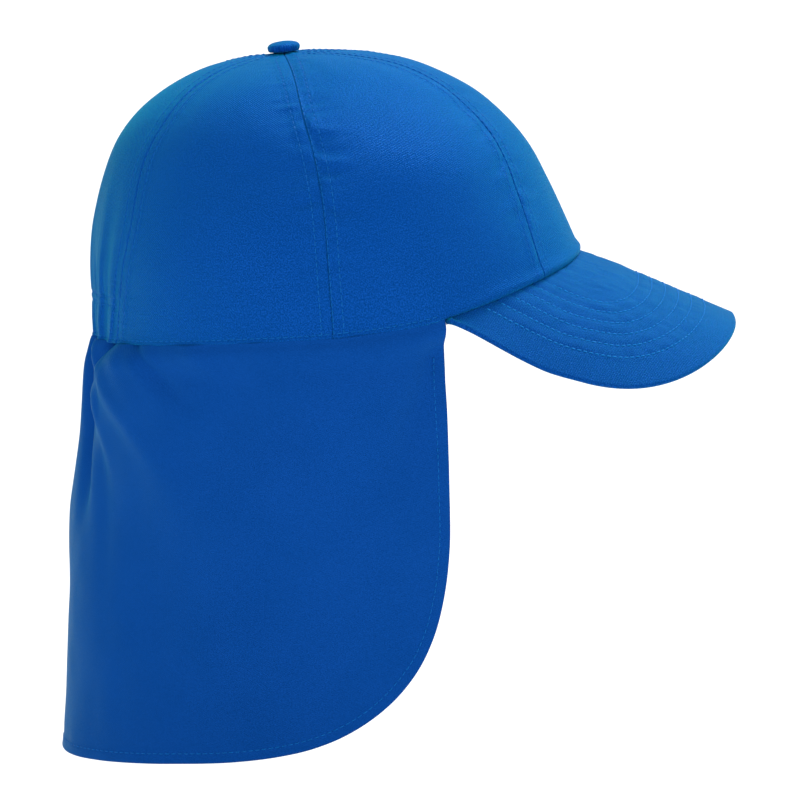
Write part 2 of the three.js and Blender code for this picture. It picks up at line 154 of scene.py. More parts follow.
# Small creases that the solids leave out, in the same columns
FLAP_CREASES = (
    (0.06, 0.3, 0.03, 0.6, -0.05, 0.5),
    (0.065, 0.16, 0.018, -1.5, -0.06, 0.5),
    (0.11, 0.29, 0.014, 0.3, -0.02, 0.36),
    (0.215, 0.145, 0.012, -0.6, -0.06, 0.13),
    (0.13, 0.48, 0.024, 0.4, -0.02, 0.36),
    (0.25, 0.3, 0.014, 0.26, -0.05, 0.1),
    (0.26, 0.53, 0.014, -0.36, -0.04, 0.18),
    (0.3, 0.48, 0.02, 0.2, 0.0, 0.2),
    (0.36, 0.44, 0.014, -0.14, -0.04, 0.09),
    (0.44, 0.56, 0.02, 0.24, -0.03, 0.11),
    (0.6, 0.66, 0.02, 0.12, -0.03, 0.09),
    (0.74, 0.72, 0.02, -0.1, -0.03, 0.1),
    (0.5, 0.56, 0.06, 0.1, 0.08, 0.3),
    (0.3, 0.34, 0.03, 0.12, 0.2, 0.6),
    (0.22, 0.3, 0.02, -0.16, 0.2, 0.75),
    (0.5, 0.54, 0.04, -0.08, 0.3, 0.9),
    (0.84, 0.76, 0.07, 0.14, 0.08, 0.4),
    (1.01, 0.87, 0.03, -0.36, 0.0, 0.4),
    (0.95, 0.8, 0.03, 0.16, 0.05, 0.45),
    (0.72, 1.0, 0.07, -0.16, 0.34, 0.8),
    (-0.07, -0.25, 0.016, -1.2, -0.06, 0.4),
    (-0.2, -0.15, 0.012, -0.35, -0.05, 0.14),
    (-0.14, -0.4, 0.02, 0.3, -0.02, 0.34),
    (-0.28, -0.5, 0.016, -0.26, -0.03, 0.2),
    (-0.35, -0.5, 0.025, -0.1, 0.0, 0.35),
    (-0.98, -0.86, 0.03, -0.3, 0.0, 0.42),
    (-0.45, -0.6, 0.03, 0.1, 0.05, 0.5),
    (-0.04, -0.02, 0.014, -0.3, -0.05, 0.3),
)

# Shares that shape the cloth of the solids
GATHER_REACH = 0.5
GATHER_FALL = 0.4
GATHER_EDGE = 0.2
FLARE_BEND = 0.44
FLARE_FRONT = 0.45
CORNER_SHARE = 0.5
HEM_STRAIGHT = 0.36
CORNER_POWER = 2.68
FOLD_START = 0.2
FOLD_END = 0.4
ARCH_POWER = 2.45
BOW_RISE = 0.25
PEAK_POWER = 3.5
PEAK_BULGE = 0.088
CORNER_TURN = 88.0

STEP = 1e-3
HALF_TURN = 180.0
FULL_TURN = 360.0
HALF_LENGTH = CROWN_LENGTH / 2
HALF_WIDTH = CROWN_WIDTH / 2
MERIDIAN = CROWN_HEIGHT + HALF_LENGTH / 2  # rough length of the cloth from the rim to the top

# Relief of the crown's seams, by distance from the seam
SEAM_ROW = 4.5  # from the seam to the row of stitches on each side of it
DITCH_ROW = 0.5  # from the seam to the row of stitches that holds it
SEAM_RAISE = {"front": 0.2, "side": 0.26, "back": 0.24}  # of the cloth over its turned edges
SEAM_RISE = 0.8  # how far from the seam it has that height
SEAM_FALL = 1.8  # how far beyond the row of stitches it has lost it
SEAM_ROUND = 0.4  # twice the radius of the cloth's edge there
GROOVE_DEPTH = 0.2
GROOVE_WIDTH = 0.45
SEAM_COLUMNS = (
    0.03, 0.12, 0.28, 0.5, 0.7, 0.9, 1.2, 1.7, 2.3, 3.0, 3.6, 4.0, 4.25, 4.5, 4.75, 5.0, 5.4, 6.0, 6.8,
)
SEAM_SHARE = 0.36  # of a narrow panel's width that each seam's columns may take

# Relief of the rim, by distance from the crown's lower edge
RIM_LIP = 0.65  # how far the edge hangs below the solids' rim
RIM_ROUND = 1.0  # twice the radius of its edge
RIM_ROW = 2.3
FOLD_ROUND = 2.2  # twice the radius of the edge over the peak, where it is a soft fold
INNER_MEET = 1.0  # rise below which the panels' inner faces meet there
RIM_WAVER = 0.2  # how unevenly it hangs there, as a share of the lip
RIM_ROWS = (0.03, 0.12, 0.28, 0.5, 0.8, 1.2, 1.6, 1.9, 2.1, 2.3, 2.5, 2.7, 3.0, 3.5, 4.2)
GRID = 1.0  # size of the mesh's squares elsewhere
FEWEST_SQUARES = 4
PANEL_POINTS = 81  # places across a panel where its width is measured

# Unevenness of the cloth: its depth, the size of its patches across, how many times longer they
# are the other way, and the seed of their random heights
UNEVEN_COLUMNS = ("depth", "size", "stretch", "seed")
UNEVEN = {
    "panel": (0.12, 12, 1, 71),
    "rim_over_peak": (1, 16, 1, 97),
    "band_line": (0.8, 14, 1, 5),
    "band_strength": (0.45, 22, 1, 11),
    "gathers": (0.45, 2.6, 24, 31),
    "fine_gathers": (0.35, 1.3, 16, 32),
    "button": (0.05, 2.5, 1, 91),
    "sweatband": (0.15, 11, 1, 52),
    "sweatband_gathers": (0.35, 4, 14, 51),
    "quilt": (0.2, 5, 1, 61),
    "quilt_rows": (0.14, 2.4, 2.5, 62),
    "peak": (0.1, 14, 1, 63),
    "hem": (0.35, 9, 1, 81),
    "flap": (0.9, 26, 1.43, 82),
    "fine_flap": (0.2, 9, 1.67, 83),
}
DEGREE_LENGTH = 1.5  # rough length of one degree along the rim

# Soft ridges along an edge: their height, the distance of their middle from the edge, their width
RIDGE_COLUMNS = ("height", "middle", "width")
RIDGES = {
    "rim": (0.3, 0.92, 0.9),
    "rim_over_peak": (0.8, 2.6, 2.4),
    "casing": (0.25, 8, 4),
    "flap_spring": (1.3, 6, 5),
}


# A smooth curve through one column of a table, at places in its first column
def table_curve(table, key, column, place, end_slope=1.0):
    keys = np.asarray(table[key], float)
    values = np.asarray(table[column], float)
    place = np.clip(place, keys[0], keys[-1])
    slopes = np.empty_like(values)
    slopes[1:-1] = (values[2:] - values[:-2]) / (keys[2:] - keys[:-2])
    slopes[0] = end_slope * (values[1] - values[0]) / (keys[1] - keys[0])
    slopes[-1] = end_slope * (values[-1] - values[-2]) / (keys[-1] - keys[-2])
    low = np.clip(np.searchsorted(keys, place, side="right") - 1, 0, len(keys) - 2)
    span = keys[low + 1] - keys[low]
    t = (place - keys[low]) / span
    return (
        (2 * t**3 - 3 * t**2 + 1) * values[low]
        + (t**3 - 2 * t**2 + t) * span * slopes[low]
        + (3 * t**2 - 2 * t**3) * values[low + 1]
        + (t**3 - t**2) * span * slopes[low + 1]
    )


def smooth(value, low, high):
    t = np.clip((value - low) / (high - low), 0, 1)
    return t * t * (3 - 2 * t)


def bump(value, middle, width):
    return np.exp(-(((value - middle) / width) ** 2))


def lerp(low, high, share):
    return low + (high - low) * share


def turned(angle):
    return angle - FULL_TURN * np.round(angle / FULL_TURN)


# Soft unevenness from -1 to 1, in patches of about one size
def mottle(u, v, size, seed):
    cells = 64
    heights = np.random.default_rng(seed).uniform(-1, 1, (cells, cells))
    u, v = np.broadcast_arrays(np.asarray(u, float) / size, np.asarray(v, float) / size)
    left, low = np.floor(u).astype(int), np.floor(v).astype(int)
    across, up = smooth(u - left, 0, 1), smooth(v - low, 0, 1)
    at = lambda i, j: heights[(left + i) % cells, (low + j) % cells]
    return lerp(lerp(at(0, 0), at(1, 0), across), lerp(at(0, 1), at(1, 1), across), up)


def uneven(kind, u, v, offset=0):
    row = dict(zip(UNEVEN_COLUMNS, UNEVEN[kind]))
    return row["depth"] * mottle(u, v / row["stretch"], row["size"], row["seed"] + offset)


def ridge(kind, distance):
    row = dict(zip(RIDGE_COLUMNS, RIDGES[kind]))
    return row["height"] * bump(distance, row["middle"], row["width"])


def rim_dip(angle):
    return RIM_DIP * table_curve(RIM_DIPS, "angle", "share", np.abs(turned(angle)))


def profile(column, level):
    return table_curve(CROWN_ROWS, "level", column, level, end_slope=0.5)


# The smooth crown without its panels: angle in degrees from the front, level from 0 at the rim to 1
def crown_base(angle, level):
    angle, level = np.broadcast_arrays(np.asarray(angle, float), np.asarray(level, float))
    ahead, aside = np.cos(np.radians(angle)), np.sin(np.radians(angle))
    front = ahead > 0
    end_reach = np.where(front, profile("front_reach", level), profile("back_reach", level))
    end_rise = np.where(front, profile("front_rise", level), profile("back_rise", level))
    rise = lerp(profile("side_rise", level), end_rise, ahead**2)
    fade = np.maximum(0, 1 - level / DIP_FADE) ** 2
    x = HALF_LENGTH * end_reach * ahead - TOP_SET_BACK * level
    y = HALF_WIDTH * profile("side_reach", level) * aside
    z = CROWN_HEIGHT * rise - rim_dip(angle) * fade
    return np.stack([x, y, z], -1)


def unit(vectors):
    return vectors / np.linalg.norm(vectors, axis=-1, keepdims=True)


# The unit normal of a surface, by small steps to each side
def normal_of(surface, u, v):
    inside = np.clip(v, STEP, 1 - STEP)
    along = surface(u + STEP, inside) - surface(u - STEP, inside)
    up = surface(u, inside + STEP) - surface(u, inside - STEP)
    return unit(np.cross(along, up))


# The smooth crown, depth inwards
def crown_lining(angle, level, depth):
    depth = np.asarray(depth, float)[..., None]
    return crown_base(angle, level) - normal_of(crown_base, angle, level) * depth


# The seams at the two ends of a panel, in degrees that rise from the first to the second
def panel_ends(panel, level):
    ends = [
        turn * table_curve(SEAMS, "level", end, level)
        for end, turn in zip(panel["ends"], panel["turns"])
    ]
    return ends[0], np.where(ends[1] > ends[0], ends[1], ends[1] + FULL_TURN)


# Ridges and furrows of the back panel's foot
def gather_swell(across, level):
    wave = np.cos(2 * np.pi * GATHER_COUNT * across)
    hold = smooth(np.sin(np.pi * across), 0, GATHER_EDGE)
    return -GATHER_DEPTH / 2 * wave * hold * (1 - smooth(level, 0, GATHER_REACH))


def rim_ripple(angle):
    low, high = panel_ends(BACK_PANEL, 0.0)
    across = ((angle - low) % FULL_TURN) / (high - low)
    return np.where(across <= 1, gather_swell(np.minimum(across, 1), 0.0), 0)


def degrees_for(length, angle, level):
    return STEP * length / np.linalg.norm(crown_base(angle + STEP, level) - crown_base(angle, level))


# Points of the crown's frame in the cap's own frame
def tilted(points):
    lean = math.radians(CROWN_TILT)
    x = points[..., 0] * math.cos(lean) - points[..., 2] * math.sin(lean)
    z = points[..., 0] * math.sin(lean) + points[..., 2] * math.cos(lean)
    return np.stack([x, points[..., 1], z], -1)


# Distances along each row of a grid of points from its first column
def row_lengths(points):
    steps = np.linalg.norm(np.diff(points, axis=-2), axis=-1)
    start = np.zeros(steps.shape[:-1] + (1,))
    return np.concatenate([start, np.cumsum(steps, -1)], -1)


# How far a rounded edge of cloth lies in from its face, at a distance from the edge
def edge_inset(distance, thickness):
    radius = thickness / 2
    inside = radius - np.clip(distance, 0, radius)
    return radius - np.sqrt(np.maximum(radius**2 - inside**2, 0))


# Distances from an edge that are close together beside it and then spread evenly up to a length
def spread(near, length):
    count = max(2, round((length - near[-1]) / GRID))
    return np.concatenate([near, np.linspace(near[-1], length, count + 1)[1:]])


def new_object(name, vertices, faces, uv, material):
    mesh = bpy.data.meshes.new(name)
    mesh.from_pydata((vertices * MM).tolist(), [], faces)
    mesh.polygons.foreach_set("use_smooth", np.ones(len(mesh.polygons), bool))
    corners = np.zeros(len(mesh.loops), np.int32)
    mesh.loops.foreach_get("vertex_index", corners)
    mesh.uv_layers.new(name="UVMap").data.foreach_set("uv", uv[corners].ravel().astype(np.float32))
    mesh.materials.append(material)
    made = bpy.data.objects.new(name, mesh)
    bpy.context.scene.collection.objects.link(made)
    return made


def quads(a, b, c, d):
    return np.stack([a.ravel(), b.ravel(), c.ravel(), d.ravel()], -1)


# A closed sheet of cloth between an outer and an inner grid of points
def slab(name, outer, inner, uv, material, loop=False):
    rows, columns = outer.shape[:2]
    a = np.arange(rows * columns).reshape(rows, columns)
    if loop:
        a = np.hstack([a, a[:, :1]])
    b = a + rows * columns
    faces = [
        quads(a[:-1, :-1], a[:-1, 1:], a[1:, 1:], a[1:, :-1]),
        quads(b[:-1, :-1], b[1:, :-1], b[1:, 1:], b[:-1, 1:]),
        quads(a[0, :-1], b[0, :-1], b[0, 1:], a[0, 1:]),
        quads(a[-1, :-1], a[-1, 1:], b[-1, 1:], b[-1, :-1]),
    ]
    if not loop:
        faces.append(quads(a[:-1, 0], a[1:, 0], b[1:, 0], b[:-1, 0]))
        faces.append(quads(a[:-1, -1], b[:-1, -1], b[1:, -1], a[1:, -1]))
    vertices = np.concatenate([outer.reshape(-1, 3), inner.reshape(-1, 3)])
    both = np.concatenate([uv.reshape(-1, 2)] * 2)
    return new_object(name, vertices, np.concatenate(faces).tolist(), both, material)


# Stitches, each a short thread that dips into the cloth at both ends
STITCH_LENGTH = 2.1
STITCH_PITCH = 2.8
STITCH_RADIUS = 0.22
STITCH_SIDES = 6
STITCH_RINGS = {
    "along": (-0.5, -0.46, -0.3, 0, 0.3, 0.46, 0.5),  # shares of the stitch's length
    "girth": (0.35, 0.75, 1.0, 1.0, 1.0, 0.75, 0.35),  # shares of its radius
    "lift": (-1.1, -0.45, 0.2, 0.45, 0.2, -0.45, -1.1),
}


def stitch_mesh(name, runs, material, pitch=STITCH_PITCH, radius=STITCH_RADIUS):
    rings = {key: np.array(value) for key, value in STITCH_RINGS.items()}
    turns = np.arange(STITCH_SIDES) * 2 * np.pi / STITCH_SIDES
    vertices = []
    for points, normals in runs:
        lengths = row_lengths(points)
        middles = np.arange(pitch, lengths[-1] - pitch / 2, pitch)
        if not len(middles):
            continue
        places = middles[:, None] + rings["along"] * STITCH_LENGTH * pitch / STITCH_PITCH
        on_run = lambda rows: np.stack([np.interp(places, lengths, rows[:, k]) for k in range(3)], -1)
        centre, up = on_run(points), unit(on_run(normals))
        side = unit(np.cross(up, unit(np.gradient(centre, axis=1))))
        centre = centre + up * (rings["lift"] * radius)[:, None]
        girth = (rings["girth"] * radius)[:, None, None]
        round_it = side[..., None, :] * np.cos(turns)[:, None] + up[..., None, :] * np.sin(turns)[:, None]
        vertices.append(centre[..., None, :] + round_it * girth)
    made = np.concatenate(vertices)
    count, ring_count = made.shape[:2]
    index = np.arange(count * ring_count * STITCH_SIDES).reshape(count, ring_count, STITCH_SIDES)
    nextward = np.roll(index, -1, axis=2)
    faces = quads(index[:, :-1], nextward[:, :-1], nextward[:, 1:], index[:, 1:]).tolist()
    faces += index[:, 0, ::-1].tolist() + index[:, -1].tolist()
    uv = np.stack(np.broadcast_arrays(rings["along"][:, None] * STITCH_LENGTH, turns), -1)
    uv = np.broadcast_to(uv, made.shape[:-1] + (2,)).reshape(-1, 2)
    return new_object(name, made.reshape(-1, 3), faces, uv, material)


# Puckers beside the crown's seams: their strength at a rise above the rim
PUCKER_SIZE = 5.0
PUCKER_REACH = 8.0
PUCKER_MIDDLE = 0.6  # where they are deepest, as a share of the way to the row of stitches
PUCKER_START = 2.0  # how far from the seam they have their whole depth
PUCKER_SLANT = 0.25
FINE_PUCKER = 0.5  # depth and size of the fine ones, as a share of the others'
FINE_STRETCH = 4.0  # how many times longer than wide the fine ones are
SEAM_SEED = {"base": 40, "turn": 10, "panel": 3}
PUCKERS = {
    "rise": (0, 15, 40, 75, 105, 150),
    "front": (0.3, 0.4, 0.5, 0.45, 0.2, 0.05),
    "side": (0.15, 0.3, 0.8, 0.9, 0.4, 0.1),
    "back": (0.25, 0.25, 0.2, 0.14, 0.1, 0.05),
}
# Ridges where the sweatband shows through the cloth: rise above the rim, and height
BAND_RIDGES = ((21.0, 0.34), (16.0, 0.26), (12.0, 0.22), (8.0, 0.22))
BAND_RIDGE_WIDTH = 1.1
BAND_STRENGTH = 0.55  # share of that height that they have on the whole
BAND_SHOWS = (60, 85)  # degrees from the front between which they begin
# Broad hollows and swellings of the crown
DENT_COLUMNS = ("angle", "rise", "wide", "high", "depth")
CROWN_DENTS = (
    (-114, 62, 26, 16, -1.9),
    (-112, 104, 24, 14, 0.8),
    (-55, 54, 26, 17, 1.9),
    (-64, 98, 18, 12, -0.45),
    (-20, 70, 14, 16, -0.6),
    (-26, 92, 20, 14, 0.8),
    (-75, 22, 16, 9, -0.5),
    (-128, 26, 16, 9, 0.5),
    (115, 64, 26, 17, -1.6),
    (108, 104, 24, 14, 0.8),
    (57, 57, 26, 18, 1.6),
    (16, 62, 16, 18, -0.6),
    (176, 80, 22, 18, 0.8),
)


def crown_dents(angle, rise):
    total = 0
    for row in CROWN_DENTS:
        dent = dict(zip(DENT_COLUMNS, row))
        away = turned(angle - dent["angle"])
        total = total + dent["depth"] * bump(away, 0, dent["wide"]) * bump(rise, dent["rise"], dent["high"])
    return total


# Relief beside one seam: the raised turned edges, the grooves of the stitches and the puckers
def seam_relief(seam, seed, distance, rise):
    beyond = smooth(distance, SEAM_ROW, SEAM_ROW + SEAM_FALL)
    raised = SEAM_RAISE[seam] * smooth(distance, 0, SEAM_RISE) * (1 - beyond)
    groove = -GROOVE_DEPTH * bump(distance, SEAM_ROW, GROOVE_WIDTH)
    line = np.full_like(rise, seed)
    wave = mottle(rise + PUCKER_SLANT * distance, line, PUCKER_SIZE, seed)
    fine = mottle(rise, distance / FINE_STRETCH, FINE_PUCKER * PUCKER_SIZE, seed + 1)
    strength = np.interp(rise, PUCKERS["rise"], PUCKERS[seam])
    near = bump(distance, PUCKER_MIDDLE * SEAM_ROW, PUCKER_REACH) * smooth(distance, 0, PUCKER_START)
    return raised + groove + strength * (wave + FINE_PUCKER * fine) * near


CORNER_FADE = 3.0  # degrees to each side of the peak's corner where the rim changes


# 1 over the peak, and 0 beyond its corners
def peak_share(angle):
    return 1 - smooth(np.abs(turned(angle)), PEAK_SPREAD - CORNER_FADE, PEAK_SPREAD + CORNER_FADE)


# The sweatband's ridges, which are uneven and end towards the front
def band_relief(angle, rise):
    along = angle * DEGREE_LENGTH
    rise = rise + uneven("band_line", along, np.zeros_like(angle))
    total = 0
    for number, (height, depth) in enumerate(BAND_RIDGES):
        strong = BAND_STRENGTH + uneven("band_strength", along, np.full_like(angle, number), number)
        total = total + depth * strong * bump(rise, height, BAND_RIDGE_WIDTH)
    return total * smooth(np.abs(turned(angle)), *BAND_SHOWS)


# Relief along the rim: a turned edge with a row of stitches, or a soft fold over the peak
def rim_relief(angle, rise):
    edge = rise + RIM_LIP
    over_peak = peak_share(angle)
    rolled = ridge("rim", edge) - GROOVE_DEPTH * bump(edge, RIM_ROW, GROOVE_WIDTH)
    return rolled * (1 - over_peak) + ridge("rim_over_peak", edge) * over_peak


CASING_ROWS = (13.2, 16.2)  # rises of the rows of stitches over the elastic's casing
CASING_GROOVE = 0.4
CASING_GROOVE_WIDTH = 0.6
BACK_WIDTH = 60.0  # rough width of the back panel's foot
GATHERS_FADE = (18, 62)  # rises between which the fine gathers fade out


# Fine gathers of the elastic back, which cross the casing and fade out above it
def back_relief(across, rise):
    hold = smooth(np.sin(np.pi * across), 0, GATHER_EDGE)
    along = across * BACK_WIDTH
    fine = uneven("gathers", along, rise) + uneven("fine_gathers", along, rise)
    grooves = CASING_GROOVE * sum(bump(rise, row, CASING_GROOVE_WIDTH) for row in CASING_ROWS)
    return hold * (fine * (1 - smooth(rise, *GATHERS_FADE)) + ridge("casing", rise) - grooves)


# One panel's grid: angles, rises above the rim, distances from its two seams
def panel_places(panel):
    top = MERIDIAN * TOP_LEVEL
    rises = np.concatenate([np.array(RIM_ROWS) - RIM_LIP, spread(RIM_ROWS[-1:], top)[1:]])
    levels = np.clip(rises / MERIDIAN, 0, 1)
    first, second = panel_ends(panel, levels)
    dense = lerp(first[:, None], second[:, None], np.linspace(0, 1, PANEL_POINTS))
    lengths = row_lengths(crown_base(dense, levels[:, None]))
    widths = lengths[:, -1]
    near = np.array(SEAM_COLUMNS)
    middle_count = max(FEWEST_SQUARES, round((widths.max() - 2 * near[-1]) / GRID))
    share = np.linspace(0, 1, middle_count + 1)[1:-1]
    distances = []
    for width in widths:
        close = near * min(1, SEAM_SHARE * width / near[-1])
        middle = lerp(close[-1], width - close[-1], share)
        distances.append(np.concatenate([close, middle, (width - close)[::-1]]))
    distances = np.array(distances)
    angles = np.array([np.interp(d, l, a) for d, l, a in zip(distances, lengths, dense)])
    return {
        "angle": angles,
        "rise": np.broadcast_to(rises[:, None], angles.shape),
        "level": np.broadcast_to(levels[:, None], angles.shape),
        "from_first": distances,
        "from_second": widths[:, None] - distances,
    }


TOP_LEVEL = 1 - (STEM_DIAMETER + 2 * SEAM_GAP) / CROWN_LENGTH
UNEVEN_START = 6.0  # rise above the rim at which the unevenness has its whole depth
RUN_STOP = 6  # rows of the grid that the seams' stitches stop short of the top


# How far a panel's cloth stands out from the smooth crown
def panel_relief(panel, number, at):
    angle, rise, level = at["angle"], at["rise"], at["level"]
    across = at["from_first"] / (at["from_first"] + at["from_second"])
    swell = PANEL_PUFF * np.sin(np.pi * across) * np.sin(np.pi * level)
    if panel is BACK_PANEL:
        swell = swell + gather_swell(across, level) + back_relief(across, rise)
    else:
        swell = swell + band_relief(angle, rise)
    for seam, key, turn in zip(panel["ends"], ("from_first", "from_second"), panel["turns"]):
        seed = SEAM_SEED["base"] + SEAM_SEED["turn"] * turn + SEAM_SEED["panel"] * number
        swell = swell + seam_relief(seam, seed, at[key], rise)
    swell = swell + rim_relief(angle, rise) + crown_dents(angle, rise)
    patches = uneven("panel", angle * DEGREE_LENGTH, rise, number)
    return swell + patches * smooth(rise, 0, UNEVEN_START)


# A panel's smooth face, which hangs a little below the solids' rim
def panel_base(angle, rise, level, over_peak):
    below = unit(crown_base(angle, STEP) - crown_base(angle, 0.0))
    waver = RIM_WAVER * (1 + uneven("rim_over_peak", angle * DEGREE_LENGTH, np.zeros_like(angle)))
    hang = np.minimum(rise, 0) * (1 + waver * over_peak)
    return crown_base(angle, level) + below * hang[..., None]


def crown_panel(panel, number, cloth):
    at = panel_places(panel)
    angle, rise, level = at["angle"], at["rise"], at["level"]
    swell = panel_relief(panel, number, at)
    over_peak = peak_share(angle)
    base = panel_base(angle, rise, level, over_peak)
    normal = normal_of(crown_base, angle, level)
    seam = edge_inset(np.minimum(at["from_first"], at["from_second"]), SEAM_ROUND)
    rim = edge_inset(rise + RIM_LIP, RIM_ROUND)
    fold = edge_inset(rise + RIM_LIP, FOLD_ROUND)
    outer_inset = np.maximum(seam, lerp(rim, fold, over_peak))
    inner_inset = np.maximum(seam * (1 - over_peak * (rise < INNER_MEET)), rim * (1 - over_peak))
    outer = tilted(base + normal * (swell - outer_inset)[..., None])
    inner = tilted(base + normal * (swell - CLOTH + inner_inset)[..., None])
    uv = np.stack([(at["from_first"] - at["from_second"]) / 2, rise], -1)
    made = slab(panel["name"] + "_cloth", outer, inner, uv, cloth)
    beyond_peak = over_peak[0] < 0.5
    heights = CASING_ROWS if panel is BACK_PANEL else ()
    return made, panel_runs(outer, tilted(normal), rise[:, 0], beyond_peak, heights)


# The rows of stitches on a panel: beside each seam, along the rim, and along the back's casing
def panel_runs(outer, normal, rises, beyond_peak, heights):
    row, ditch = SEAM_COLUMNS.index(SEAM_ROW), SEAM_COLUMNS.index(DITCH_ROW)
    reach = len(rises) - RUN_STOP
    runs = [(outer[:reach, c], normal[:reach, c]) for c in (ditch, row, -1 - row)]
    for height in (RIM_ROW - RIM_LIP, *heights):
        level = int(np.argmin(np.abs(rises - height)))
        if beyond_peak.sum() > 1:
            runs.append((outer[level, beyond_peak], normal[level, beyond_peak]))
    return runs


# The cloth-covered button: a low dome whose cloth is drawn in under its edge
BUTTON_PROFILE = {
    "radius": (0, 0.3, 0.6, 0.82, 0.94, 1.0, 1.0, 0.96, 0.86, 0.6, 0.24, 0.24, 0),
    "height": (1.0, 0.985, 0.92, 0.8, 0.66, 0.48, 0.3, 0.14, 0.04, 0.0, 0.0, -0.8, -0.8),
}
BUTTON_SIDES = 96
BUTTON_RINGS = 48
BUTTON_PLEATS = 14
PLEAT_DEPTH = 0.02  # as a share of the button's radius
PLEAT_START = (0.35, 0.55)  # shares of the way down its profile between which the pleats begin
PLEAT_WAVER = 0.6
PLEAT_WAVES = 3
BUTTON_SEAT = 0.9  # from the top of the smooth crown up to the button's foot


# The button's rings of points from its top to its foot, upright at the origin
def button_rings():
    share = np.linspace(0, 1, len(BUTTON_PROFILE["radius"]))
    fine = np.linspace(0, 1, BUTTON_RINGS)
    table = {"share": share, **BUTTON_PROFILE}
    radius = np.maximum(table_curve(table, "share", "radius", fine), 0) * BUTTON_DIAMETER / 2
    height = table_curve(table, "share", "height", fine) * BUTTON_HEIGHT
    radius[[0, -1]] = 0
    turn = np.arange(BUTTON_SIDES) * 2 * np.pi / BUTTON_SIDES
    wave = np.cos(BUTTON_PLEATS * turn + PLEAT_WAVER * np.sin(PLEAT_WAVES * turn))
    pleat = 1 - PLEAT_DEPTH * smooth(fine, *PLEAT_START)[:, None] * (1 + wave)
    x, y = np.cos(turn) * radius[:, None] * pleat, np.sin(turn) * radius[:, None] * pleat
    return np.stack([x, y, height[:, None] + uneven("button", x, y)], -1)


def button(cloth):
    local = button_rings()
    lean = math.radians(BUTTON_LEAN)
    x = local[..., 0] * math.cos(lean) + local[..., 2] * math.sin(lean)
    z = local[..., 2] * math.cos(lean) - local[..., 0] * math.sin(lean)
    seat = crown_base(0.0, 1.0) + np.array([math.sin(lean), 0, math.cos(lean)]) * BUTTON_SEAT
    placed = tilted(np.stack([x, local[..., 1], z], -1) + seat)
    rings = placed[1:-1]
    index = np.arange(rings.shape[0] * BUTTON_SIDES).reshape(rings.shape[0], BUTTON_SIDES)
    nextward = np.roll(index, -1, axis=1)
    faces = quads(index[:-1], index[1:], nextward[1:], nextward[:-1]).tolist()
    top, foot = index.size, index.size + 1
    faces += [[top, a, b] for a, b in zip(index[0], nextward[0])]
    faces += [[foot, b, a] for a, b in zip(index[-1], nextward[-1])]
    vertices = np.concatenate([rings.reshape(-1, 3), placed[0, :1], placed[-1, :1]])
    uv = np.concatenate([local[1:-1, :, :2].reshape(-1, 2), np.zeros((2, 2))])
    return new_object("crown_button_cloth", vertices, faces, uv, cloth)


BAND_COLUMNS = 420
BAND_ROWS = 30
BAND_TOP = BAND_HEIGHT / MERIDIAN
BAND_DEPTH = CLOTH + BAND_GAP + GATHER_DEPTH / 2
BAND_STITCHES = (2.6, 4.6)  # from its edges to its rows of stitches
BAND_GROOVE = 0.25
BAND_GROOVE_WIDTH = 0.8
ELASTIC_STARTS = (140, 160)  # degrees from the front between which the gathers begin


# The sweatband: a soft loop inside the rim with a turned and stitched edge
def sweatband(cloth):
    angle = np.linspace(0, FULL_TURN, BAND_COLUMNS, endpoint=False)[None, :]
    share = np.linspace(0, 1, BAND_ROWS)[:, None]
    angle, share = np.broadcast_arrays(angle, share)
    height = share * BAND_HEIGHT
    edge = np.minimum(height, BAND_HEIGHT - height)
    inset = edge_inset(edge, BAND_THICKNESS)
    along = angle * DEGREE_LENGTH
    gather = uneven("sweatband_gathers", along, height) * smooth(np.abs(turned(angle)), *ELASTIC_STARTS)
    rough = uneven("sweatband", along, height) + gather
    groove = -BAND_GROOVE * sum(bump(edge, row, BAND_GROOVE_WIDTH) for row in BAND_STITCHES)
    outer = tilted(crown_lining(angle, share * BAND_TOP, BAND_DEPTH - rough + inset))
    depth = BAND_DEPTH + BAND_THICKNESS - rough - inset + groove
    inner = tilted(crown_lining(angle, share * BAND_TOP, depth))
    uv = np.stack([row_lengths(outer), height], -1)
    return slab("sweatband_cloth", outer, inner, uv, cloth, loop=True)


SLOPE = math.radians(PEAK_SLOPE + CROWN_TILT)
CORNER_ACROSS = HALF_WIDTH * math.sin(math.radians(PEAK_SPREAD))
PEAK_ROWS = (14.5, 20.5, 26.5, 32.5, 38.5, 44.5)  # from the peak's outer edge to its rows of stitches
PEAK_PITCH = 2.5
PEAK_THREAD = 0.27  # radius of its stitches
QUILT_PUFF = 0.12  # how far the cloth swells between those rows
QUILT_START = 3.0  # from where it begins to swell to the first row
QUILT_GROOVE = 0.14
QUILT_WIDTHS = (0.6, 1.7)  # each groove is a narrow one in a wide one
UNDER_RELIEF = 0.3  # share of the upper side's relief on the underside
PEAK_COLUMN_COUNT = 300
PEAK_EDGE_ROWS = (0.03, 0.12, 0.3, 0.55, 0.9, 1.4, 2.0, 2.7, 3.5)
PEAK_ROW_COUNT = 96
ARCH_POINTS = 400
ARCH_REACH = 1.2  # how far across the arch is measured, as a share of the way to a corner
EDGE_POINTS = 160


def arch(across):
    return PEAK_ARCH * np.abs(across / CORNER_ACROSS) ** ARCH_POWER


def peak_lift(along, across):
    out = along / PEAK_LENGTH
    drop = arch(across) - PEAK_BOW * smooth(out, 0, BOW_RISE) * (1 - out)
    x = HALF_LENGTH + math.cos(SLOPE) * along - math.sin(SLOPE) * drop
    z = -math.sin(SLOPE) * along - math.cos(SLOPE) * drop
    return np.stack(np.broadcast_arrays(x, across, z), -1)


def along_of(point):
    return (point[..., 0] - HALF_LENGTH + math.sin(SLOPE) * arch(point[..., 1])) / math.cos(SLOPE)


